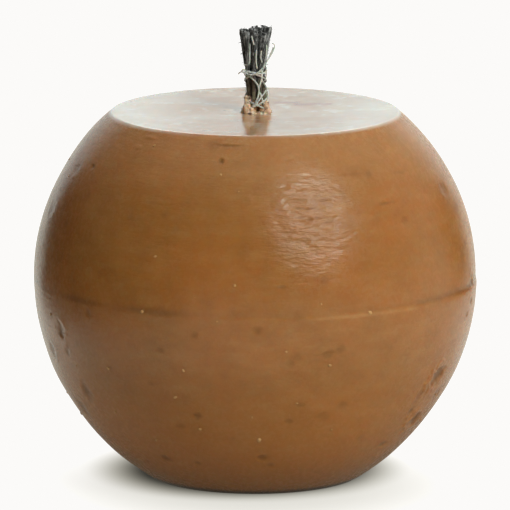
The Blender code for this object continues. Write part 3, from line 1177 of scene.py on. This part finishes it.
class StrandTree(GeometryGraph):
    """Lays twisted plies along each line, a little uneven, with frayed upper ends."""

    def __init__(self, material: Material) -> None:
        """Builds the tree for strands in one material."""
        super().__init__("twisted_strands")
        step = self.input("Step", "Float", 0.3 * MM)
        plies = self.input("Plies", "Int", 3)
        ring = self.input("Ring", "Float", 0.3 * MM)
        ply = self.input("Ply Radius", "Float", 0.15 * MM)
        turns = self.input("Turns Per Metre", "Float", 100.0)
        wander = self.input("Wander", "Float", 0.1 * MM)
        fray = self.input("Fray", "Float", 0.0)
        seed = self.input("Seed", "Int", 1)

        curve = self.socket("GeometryNodeMeshToCurve", {0: self.given.outputs[0]})
        curve = self.socket("GeometryNodeResampleCurve", {0: curve, "Length": step}, mode="LENGTH")
        copies = self.node("GeometryNodeDuplicateElements", {0: curve, "Amount": plies}, domain="SPLINE")
        number = copies.outputs["Duplicate Index"]
        curve = self.stored(copies.outputs[0], "ply", "CURVE", number)
        curve = self.stored(curve, "strand", "CURVE", self.random(0.0, 1.0, seed))
        curve = self.stored(curve, "inset", "CURVE", self.random(0.45, 1.0, self.plus(seed, 5)))
        curve = self.socket(
            "GeometryNodeSetPosition",
            {"Geometry": curve, "Offset": self.offset(plies, ring, turns, wander)},
        )
        cut = self.random(0.0, 1.0, self.plus(seed, 9))
        kept = self.minus(1.0, self.times(fray, self.math("POWER", cut, 2.0)))
        curve = self.socket("GeometryNodeTrimCurve", {0: curve, 3: kept})
        thickness = self.times(self.named("girth"), ply)
        self.close(self.tube(curve, thickness), material)

    def offset(self, plies: Value, ring: Value, turns: Value, wander: Value) -> Socket:
        """How far each point of each ply is from the line's middle."""
        along = self.socket("GeometryNodeSplineParameter", output="Length")
        share = self.math("DIVIDE", self.named("ply"), plies)
        turn = self.plus(share, self.times(along, turns))
        angle = self.times(turn, 2 * math.pi)
        normal = self.socket("GeometryNodeInputNormal")
        tangent = self.socket("GeometryNodeInputTangent")
        side = self.vector("CROSS_PRODUCT", tangent, normal)
        round_it = self.vector(
            "ADD",
            self.vector("SCALE", normal, self.math("COSINE", angle)),
            self.vector("SCALE", side, self.math("SINE", angle)),
        )
        reach = self.times(self.times(ring, self.named("inset")), self.named("girth"))
        place = self.socket("GeometryNodeInputPosition")
        apart = self.vector("SCALE", (3.1, 1.7, 2.3), self.named("strand"))
        colour = self.socket(
            "ShaderNodeTexNoise",
            {"Vector": self.vector("ADD", place, apart), "Scale": 1 / (1.6 * MM), "Detail": 2.0},
            output=1,
        )
        sway = self.vector("SCALE", self.vector("SUBTRACT", colour, (0.5, 0.5, 0.5)), wander)
        return self.vector("ADD", self.vector("SCALE", round_it, reach), sway)


class FuzzTree(GeometryGraph):
    """Grows short bent hairs on a mesh."""

    def __init__(self, material: Material) -> None:
        """Builds the tree for hairs in one material."""
        super().__init__("loose_fuzz")
        density = self.input("Density", "Float", 1.0e6)
        length = self.input("Length", "Float", 1.2 * MM)
        thickness = self.input("Thickness", "Float", 0.02 * MM)
        seed = self.input("Seed", "Int", 1)
        spread = self.node(
            "GeometryNodeDistributePointsOnFaces", {0: self.given.outputs[0], 4: density, 6: seed}
        )
        bend = self.socket(
            "GeometryNodeCurveQuadraticBezier",
            {"Resolution": 4, "Start": (0, 0, 0), "Middle": (0, 0, 0.6), "End": (0.45, 0, 0.8)},
        )
        across, along = self.random(-1.0, 1.0, 11), self.random(-1.0, 1.0, 12)
        turn = self.random(0.0, 6.28, 13)
        lean = self.socket("ShaderNodeCombineXYZ", {0: across, 1: along, 2: turn})
        lean = self.socket("FunctionNodeEulerToRotation", {0: lean})
        turned = self.socket("FunctionNodeRotateRotation", {0: spread.outputs["Rotation"], 1: lean})
        size = self.times(length, self.random(0.35, 1.0, self.plus(seed, 3)))
        hairs = self.socket(
            "GeometryNodeInstanceOnPoints",
            {"Points": spread.outputs["Points"], "Instance": bend, "Rotation": turned, "Scale": size},
        )
        hairs = self.socket("GeometryNodeRealizeInstances", {0: hairs})
        hairs = self.stored(hairs, "strand", "CURVE", self.random(0.0, 1.0, seed))
        self.close(self.tube(hairs, thickness, 4), material)


# The routes of threads and pale streaks over the front of the wick, as (right, height) in
# millimetres from its foot.
NET = (
    (
        (-1.97, 7.6), (-1.07, 7.43), (-0.24, 6.87), (0.45, 6.02),
        (0.73, 5.18), (0.66, 4.05), (0.18, 2.78), (-0.5, 1.9),
    ),
    ((1.56, 9.1), (1.08, 7.7), (1.25, 6.6), (1.9, 5.6), (2.3, 4.7)),
    ((2.30, 5.0), (1.56, 4.19), (0.87, 3.35), (0.18, 2.36), (-0.6, 1.5), (-1.3, 0.9)),
    ((0.87, 4.5), (1.42, 2.78), (1.98, 1.6)),
    ((2.0, 9.0), (2.08, 7.8), (1.9, 6.9)),
    ((2.25, 4.76), (2.3, 3.7), (2.2, 2.7)),
    ((1.1, 8.6), (1.35, 7.5), (1.1, 6.6), (0.75, 5.4)),
)
STREAKS = (
    ((-0.93, 13.5), (-0.98, 12.0), (-0.95, 10.4), (-1.10, 9.6), (-2.04, 9.34)),
    ((-0.65, 15.0), (-0.42, 14.2), (-0.17, 13.35)),
    ((0.25, 12.4), (0.15, 10.6), (0.35, 8.9)),
    ((1.15, 12.2), (0.95, 11.0), (1.30, 9.9)),
    ((2.05, 13.2), (2.1, 11.9), (1.9, 10.6)),
)
# The loose ends' routes, as (right, height, front) in millimetres from the wick's foot.
LOOSE = (
    (
        (-1.5, 7.95, 2.0), (-0.65, 7.75, 2.1), (0.18, 8.0, 2.2), (0.87, 8.42, 2.15),
        (1.56, 9.27, 1.9), (2.12, 10.1, 1.7), (2.81, 11.1, 1.5), (3.36, 12.08, 1.3),
        (3.57, 12.93, 1.2), (3.30, 13.40, 1.1), (2.95, 13.25, 1.0),
    ),
    ((3.30, 12.6, 1.0), (2.90, 11.6, 1.1), (2.45, 10.7, 1.4), (2.05, 9.9, 1.6), (1.5, 8.9, 1.9)),
    ((-1.3, 8.0, 2.0), (-2.0, 8.22, 1.7), (-2.6, 8.25, 1.4), (-3.08, 7.75, 1.2)),
    ((-1.6, 8.5, 1.9), (-2.2, 8.75, 1.6), (-2.45, 8.3, 1.5)),
)
# Balls of wax, as (right, height, front, radius) in millimetres from the wick's foot.
DRIPS = (
    (-1.20, 2.9, 0.75, 0.62), (-1.25, 2.2, 0.95, 0.72), (-1.30, 1.4, 1.15, 0.80),
    (-1.35, 0.6, 1.4, 0.88), (-1.9, 0.2, 1.2, 0.65), (-0.7, 0.1, 2.3, 0.68),
    (-0.60, 0.9, 1.85, 0.45), (-1.0, -0.1, 2.7, 0.5), (0.1, -0.1, 2.5, 0.50),
    (1.05, -0.1, 2.4, 0.58), (2.0, 0.4, 1.5, 0.85), (2.05, 1.3, 1.2, 0.72),
    (1.90, 2.0, 1.0, 0.52), (-2.0, 0.2, 0.8, 0.60), (2.5, 0.2, 0.4, 0.65),
    (-0.1, 0.6, 1.9, 0.35), (-1.15, 0.9, -1.5, 0.75), (0.3, 0.5, -1.8, 0.7),
    (1.7, 0.7, -1.4, 0.8), (-1.7, 0.5, -0.4, 0.7), (-1.2, -0.1, 2.9, 0.42),
    (0.6, -0.12, 3.0, 0.38), (1.8, -0.1, 2.5, 0.48), (-0.2, -0.15, 3.1, 0.35),
)


@dataclass
class Wick:
    """The bundle of charred yarns, the threads round it, the fuzz, and the wax set at its foot."""

    shape: WickShape
    outer_yarns: int = 8
    core_yarns: int = 3
    core_ring: float = 0.50 * MM
    plies: int = 9
    cut: tuple[float, ...] = (0.35, 0.15, -0.35, -0.05, -0.25, -0.15, -0.45, 0.30)

    def build(self) -> None:
        """Builds, dresses and hands in each piece of the wick."""
        cotton = CottonFinish(self.shape.foot_z).build()
        thread = ThreadFinish().build()
        strands = StrandTree(cotton)
        yarns = self.build_yarns(strands)
        bare = self.part_above(yarns, self.shape.foot_z - 0.2 * MM)
        fuzz = FuzzTree(cotton).grow(bare, "wick_fuzz", Density=2.2e6, Seed=4)
        names = [f"wick_yarn_{i + 1}" for i in range(self.outer_yarns)]
        names += [f"core_yarn_{i + 1}" for i in range(self.core_yarns)]
        present(yarns, names)
        present(fuzz)
        threads = StrandTree(thread)
        present(self.build_binding(threads), ["binding_thread_right", "binding_thread_left"])
        present(self.build_loose(threads), ["loose_thread_loop", "loose_thread_stray"])
        drips = self.build_drips()
        drips.data.materials.append(DripFinish().build())
        present(drips)

    def part_above(self, piece: Object, height: float) -> Object:
        """A copy of the part of a piece above a height, for a tree to grow from."""
        grid = bmesh.new()
        grid.from_mesh(piece.data)
        below = [vertex for vertex in grid.verts if vertex.co.z < height]
        bmesh.ops.delete(grid, geom=below, context="VERTS")
        return add_object("part_above", mesh_of(grid, "part_above"))

    def build_yarns(self, tree: StrandTree) -> Object:
        """Lays the yarns: finely above the wax, and plainly where they are buried."""
        shape = self.shape
        bases = [(i + 0.5) / self.outer_yarns for i in range(self.outer_yarns)]
        courses = [(share, shape.ring, cut) for share, cut in zip(bases, self.cut)]
        courses += [(i / self.core_yarns, self.core_ring, 0.1) for i in range(self.core_yarns)]
        upper, buried = [], []
        split = -1.5 * MM
        for share, ring, cut in courses:
            upper.append(shape.yarn(share, ring, split, shape.stand + cut * MM, 60))
            buried.append(shape.yarn(share, ring, shape.base_z - shape.foot_z, split, 12))
        pieces = []
        for name, lines, step in (("upper", upper, 0.28 * MM), ("buried", buried, 7 * MM)):
            girths = [shape.girth(line[:, 2] - shape.foot_z) for line in lines]
            source = lines_object(name, lines, girths)
            fine = name == "upper"
            pieces.append(
                tree.grow(
                    source,
                    name,
                    **{
                        "Step": step,
                        "Plies": self.plies,
                        "Ring": 0.30 * MM,
                        "Ply Radius": 0.145 * MM,
                        "Turns Per Metre": 70.0 if fine else 0.0,
                        "Wander": 0.42 * MM if fine else 0.0,
                        "Fray": 0.045 if fine else 0.0,
                        "Seed": 7,
                    },
                )
            )
        return join("wick_yarns", pieces)

    def threads_along(
        self, tree: StrandTree, name: str, lines: Sequence[np.ndarray], radius: float
    ) -> Object:
        """Lays a three-ply thread of this radius along each line."""
        smooth_lines = [rounded(line) for line in lines]
        girths = [self.tapered(len(line)) for line in smooth_lines]
        return tree.grow(
            lines_object(name, smooth_lines, girths),
            name,
            **{
                "Step": 0.10 * MM,
                "Plies": 3,
                "Ring": radius * 0.5,
                "Ply Radius": radius * 0.55,
                "Turns Per Metre": 900.0,
                "Wander": 0.10 * MM,
                "Fray": 0.03,
                "Seed": 23,
            },
        )

    def tapered(self, count: int) -> np.ndarray:
        """A thread's thickness along it: full, but finer at its ends."""
        place = np.linspace(0.0, 1.0, count)
        return 0.45 + 0.55 * smooth(np.minimum(place, 1 - place) / 0.12)

    def build_binding(self, tree: StrandTree) -> Object:
        """Winds the two binding threads and lays the net of threads over the front."""
        shape = self.shape
        share = np.linspace(0.0, 1.0, 60)
        lines = []
        for hand, start in ((1, 200.0), (-1, -20.0)):
            height = 0.7 * MM + share * 7.4 * MM
            angle = math.radians(start) + hand * share * 1.3 * 2 * math.pi
            lines.append(shape.place(angle, shape.reach(height) + 0.08 * MM, height))
        neck_turn = np.radians(np.linspace(-200, 20, 40))
        height = 7.7 * MM + 0.35 * MM * np.sin(neck_turn * 2) + 0.3 * MM * np.cos(neck_turn)
        lines.append(shape.place(neck_turn, shape.reach(height) + 0.12 * MM, height))
        lines += [shape.draped(route, 0.10 * MM) for route in NET]
        threads = self.threads_along(tree, "binding", lines, 0.175 * MM)
        streaks = [shape.draped(route, 0.02 * MM) for route in STREAKS]
        return join("binding_threads", [threads, self.threads_along(tree, "streaks", streaks, 0.15 * MM)])

    def build_loose(self, tree: StrandTree) -> Object:
        """Lays the long loop off the right of the neck and the stray end at the left."""
        shape = self.shape
        lines = [
            np.array([shape.beside(right, height, front) for right, height, front in route])
            for route in LOOSE
        ]
        return self.threads_along(tree, "loose_threads", lines, 0.145 * MM)

    def build_drips(self) -> Object:
        """Melts balls of wax together round the foot of the wick."""
        grid = bmesh.new()
        for right, height, front, radius in DRIPS:
            place = Matrix.Translation((right * MM, -front * MM, self.shape.foot_z + height * MM))
            bmesh.ops.create_icosphere(grid, subdivisions=3, radius=radius * MM, matrix=place)
        source = add_object("balls", mesh_of(grid, "balls"))
        melt = source.modifiers.new("melt", "REMESH")
        melt.mode = "VOXEL"
        melt.voxel_size = 0.12 * MM
        melt.use_smooth_shade = True
        melted = mesh_from(source)
        points = points_of(melted)
        normals = np.array([vertex.normal[:] for vertex in melted.vertices])
        rough = 0.34 * MM * lumps(points, 0.8 * MM, 8.0) + 0.12 * MM * lumps(points, 0.4 * MM, 3.0)
        move_points(melted, points + normals * rough[:, None])
        return add_object("wax_drips", melted)


# ---------------------------------------------------------------- the studio


@dataclass(frozen=True)
class FloorFinish:
    """A plain lit surface for the candle to stand on, with a painted shadow: dim under the ball, where no
    light would reach it.
    """

    glow: float = 1.04
    colour: Colour = (0.12, 0.12, 0.12)
    dim_middle: Pair = (-1.5 * MM, 3.4 * MM)
    dim_from: float = 17.5 * MM
    dim_to: float = 30.6 * MM
    least: float = 0.02
    soft_shadow_middle: Pair = (0.0, -11.0 * MM)
    soft_shadow_reach: float = 46.0 * MM
    soft_shadow: float = 0.32
    light: Colour = (1.0, 1.0, 1.0)
    shaded: Colour = (0.97, 0.94, 0.78)

    def build(self) -> Material:
        """Makes the material."""
        shader = Shader("lit_floor")
        # Painted shadow: the glow is dimmed close round a place under the ball, and faintly over a wider
        # patch in front of it.
        near = shader.ramp(self.distance(shader, self.dim_middle), self.dim_from, self.dim_to)
        near = shader.spanned(near, 1 - self.least, self.least)
        soft_shade = shader.ramp(self.distance(shader, self.soft_shadow_middle), 0.3 * self.soft_shadow_reach, self.soft_shadow_reach)
        soft_shade = shader.spanned(soft_shade, self.soft_shadow, 1 - self.soft_shadow)
        share = shader.times(near, soft_shade)
        light = shader.mix(share, self.shaded, self.light)
        shader.set(
            base_color=(*self.colour, 1.0),
            roughness=0.9,
            specular_ior_level=0.0,
            emission_color=light,
            emission_strength=shader.times(share, self.glow),
        )
        return shader.material

    def distance(self, shader: Shader, middle: Pair) -> Socket:
        """How far each point of the floor is from a place under the ball."""
        return shader.length(shader.vector("SUBTRACT", shader.place, (*middle, 0.0)))


@dataclass(frozen=True)
class Glow:
    """A soft patch of light in the surroundings.

    towards is its direction from the candle. It is full strength to inner degrees from there, and
    gone by outer degrees.
    """

    towards: tuple[float, float, float]
    inner: float
    outer: float
    strength: float
    colour: Colour = (1.0, 1.0, 1.0)

    def light(self, sky: Graph, look: Socket) -> Socket:
        """The patch's light in each direction."""
        middle = tuple(Vector(self.towards).normalized())
        near = sky.ramp(
            sky.dot(look, middle), math.cos(math.radians(self.outer)), math.cos(math.radians(self.inner))
        )
        return sky.vector("SCALE", self.colour, sky.times(near, self.strength))


GLOWS = (
    Glow((0.495, -0.605, 0.624), 2.0, 18.0, 17.3, (0.95, 1.0, 0.95)),
    Glow((0.466, -0.578, 0.670), 1.0, 9.0, 9.0, (0.95, 1.0, 0.95)),
    Glow((0.0, 0.985, 0.17), 22.0, 46.0, 0.95, (0.86, 0.96, 0.97)),
    Glow((0.0, 0.75, 0.66), 5.0, 21.0, 4.4),
    Glow((0.0, 0.10, 1.0), 10.0, 52.0, 0.75),
    Glow((0.95, -0.20, 0.15), 12.0, 62.0, 0.20, (0.92, 0.97, 1.0)),
    Glow((0.80, 0.50, 0.40), 12.0, 50.0, 0.45),
    Glow((-0.75, 0.60, 0.40), 12.0, 50.0, 0.12),
)


@dataclass(frozen=True)
class Screen:
    """An upright dark sheet that runs from front to back at x, out of the camera's sight."""

    name: str
    x: float
    front: float
    back: float
    height: float
    colour: Colour = (0.02, 0.02, 0.02)

    def build(self) -> None:
        """Stands the screen on the floor."""
        sides = [(self.front, 0.0), (self.back, 0.0), (self.back, self.height), (self.front, self.height)]
        corners = np.array([(self.x, y, z) for y, z in sides])
        screen = mesh_object(self.name, corners, [range(4)])
        shader = Shader("dark_screen")
        shader.set(base_color=(*self.colour, 1.0), roughness=1.0, specular_ior_level=0.0)
        screen.data.materials.append(shader.material)
        screen.visible_camera = False


@dataclass
class Studio:
    """The floor, the soft lights, the dark screens at the sides, and the camera."""

    shape: BallShape
    elevation: float = math.radians(10.75)
    distance: float = 1.5
    lens: float = 585.2
    aim_above_centre: float = 4.04 * MM
    floor_radius: float = 12.0
    sheet: FloorFinish = FloorFinish(
        glow=0.97, dim_from=19 * MM, dim_to=105 * MM, least=0.14, soft_shadow=0.0, light=(0.97, 1.0, 0.90)
    )
    glows: tuple[Glow, ...] = GLOWS
    screens: tuple[Screen, ...] = (
        Screen("left_screen", -0.125, -0.20, 0.123, 0.09),
        Screen("right_screen", 0.175, 0.06, 0.20, 0.10),
    )
    ambient: float = 0.03
    white: Colour = (0.965, 0.956, 0.939)

    def build(self) -> None:
        """Makes everything round the candle."""
        self.build_floor()
        for screen in self.screens:
            screen.build()
        self.build_world()
        self.build_camera()
        self.set_tones()

    def build_floor(self) -> None:
        """Lays a wide level floor under the candle, and the sheet just below that lights it from there.

        The camera sees the floor alone, with its shadow painted into its glow. The candle is lit by the
        sheet, which is dimmer near it.
        """
        floor = self.level_disc("floor", 0.0)
        floor.data.materials.append(FloorFinish().build())
        for kind in ("diffuse", "glossy", "transmission", "shadow"):
            setattr(floor, f"visible_{kind}", False)
        sheet = self.level_disc("lit_sheet", -0.5 * MM)
        sheet.data.materials.append(self.sheet.build())
        sheet.visible_camera = False

    def level_disc(self, name: str, z: float) -> Object:
        """A wide disc at height z."""
        turn = np.arange(96) * 2 * math.pi / 96
        ring = np.stack([np.cos(turn), np.sin(turn), np.zeros(96)], axis=1) * self.floor_radius
        disc = mesh_object(name, ring + np.array([0.0, 0.0, z]), [range(96)])
        return disc

    def build_world(self) -> None:
        """Lights the scene with soft patches, and leaves the rest of the room dark."""
        world = bpy.data.worlds.new("studio")
        world.use_nodes = True
        bpy.context.scene.world = world
        sky = Graph(world.node_tree)
        look = sky.socket("ShaderNodeTexCoord", output="Generated")
        total = sky.vector("SCALE", (1.0, 1.0, 1.0), self.ambient)
        for glow in self.glows:
            total = sky.vector("ADD", total, glow.light(sky, look))
        sky.feed(world.node_tree.nodes["Background"].inputs["Color"], total)

    def build_camera(self) -> None:
        """Stands the camera in front of the candle, a little above it."""
        camera = bpy.data.cameras.new("camera")
        camera.lens = self.lens
        camera.sensor_width = 36.0
        camera.clip_start, camera.clip_end = 0.1, 60.0
        back = Vector((0.0, -math.cos(self.elevation), math.sin(self.elevation)))
        centre = Vector((0.0, 0.0, self.shape.centre_z))
        aim = centre + Vector((0.0, 0.0, self.aim_above_centre))
        stand = add_object("camera", camera)
        stand.location = aim + back * self.distance
        stand.rotation_mode = "QUATERNION"
        stand.rotation_quaternion = back.to_track_quat("Z", "Y")
        bpy.context.scene.camera = stand

    def set_tones(self) -> None:
        """Shows colours as they are, and holds what is brighter than white at a warm white."""
        view = bpy.context.scene.view_settings
        view.view_transform = "Standard"
        view.use_curve_mapping = True
        curves = view.curve_mapping
        curves.extend = "HORIZONTAL"
        for curve, white in zip(curves.curves, self.white):
            curve.points[1].location = (1.0, white)
        curves.update()


def main() -> None:
    """Builds each piece in order, and reports it."""
    logging.basicConfig(level=logging.INFO, format="%(name)s: %(message)s")
    shape = BallShape.from_frame()
    body = WaxBody(shape)
    ball = body.build()
    ball.data.materials.append(WaxFinish(shape).build())
    present(ball, ["wax_body"])
    present(Specks(shape).build())
    Wick(WickShape(shape.top_z - body.dish - 0.1 * MM)).build()
    Studio(shape).build()


if __name__ == "__main__":
    main()
